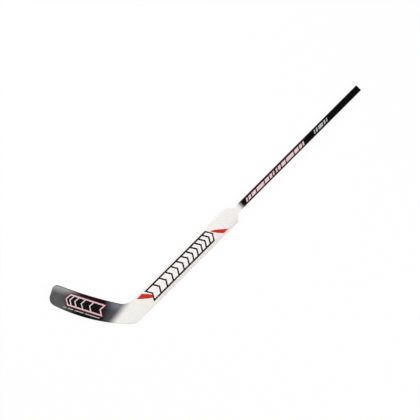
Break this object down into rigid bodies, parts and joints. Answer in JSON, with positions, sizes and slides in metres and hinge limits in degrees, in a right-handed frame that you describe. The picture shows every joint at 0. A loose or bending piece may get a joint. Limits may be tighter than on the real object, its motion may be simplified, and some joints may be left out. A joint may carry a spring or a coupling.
{
  "type": "hockey goalie stick",
  "caption": "Long ice hockey goalie stick with a straight laminated handle, a wide foam-cored paddle and a curved blade, for stopping and passing a puck.",
  "frame": {"origin": "on the back of the paddle, on the handle's centre line, level with the heel's corner", "axes": "+X up the handle from the heel to the butt, +Y to the toe's side, +Z out of the front face, so the stick lies on its back on the plane Z = 0"},
  "size_m": [1.6082, 0.3692, 0.0382],
  "materials": {
    "handle_paint": "black sprayed lacquer over glass cloth",
    "paddle_paint": "white sprayed lacquer over glass cloth",
    "blade_paint": "white fading to black lacquer over glass cloth",
    "birch": "rotary-cut birch ply, painted on the outside",
    "aspen": "sawn aspen ply, painted on the outside",
    "heel_wood": "machined hardwood",
    "core_foam": "cut rigid foam",
    "graphite": "resin-wetted graphite mat"
  },
  "bodies": {
    "root": {"handle_back_glass": "handle_paint", "handle_birch_ply_back": "birch", "handle_birch_ply_front": "birch", "handle_front_glass": "handle_paint", "paddle_toe_foam": "core_foam", "paddle_heel_foam": "core_foam", "paddle_toe_edge": "paddle_paint", "paddle_heel_edge": "paddle_paint", "heel_block": "heel_wood", "blade_rib": "heel_wood", "blade_upper_foam": "core_foam", "blade_lower_foam": "core_foam", "blade_toe_edge": "blade_paint", "blade_top_edge": "blade_paint", "blade_bottom_edge": "blade_paint", "handle_aspen_ply_1": "aspen", "handle_aspen_ply_2": "aspen", "handle_aspen_ply_3": "aspen", "handle_aspen_ply_4": "aspen", "handle_aspen_ply_5": "aspen", "paddle_back_glass": "paddle_paint", "paddle_back_graphite": "graphite", "paddle_front_glass": "paddle_paint", "paddle_front_graphite": "graphite", "blade_back_glass": "blade_paint", "blade_back_graphite": "graphite", "blade_front_glass": "blade_paint", "blade_front_graphite": "graphite"}
  },
  "joints": []
}
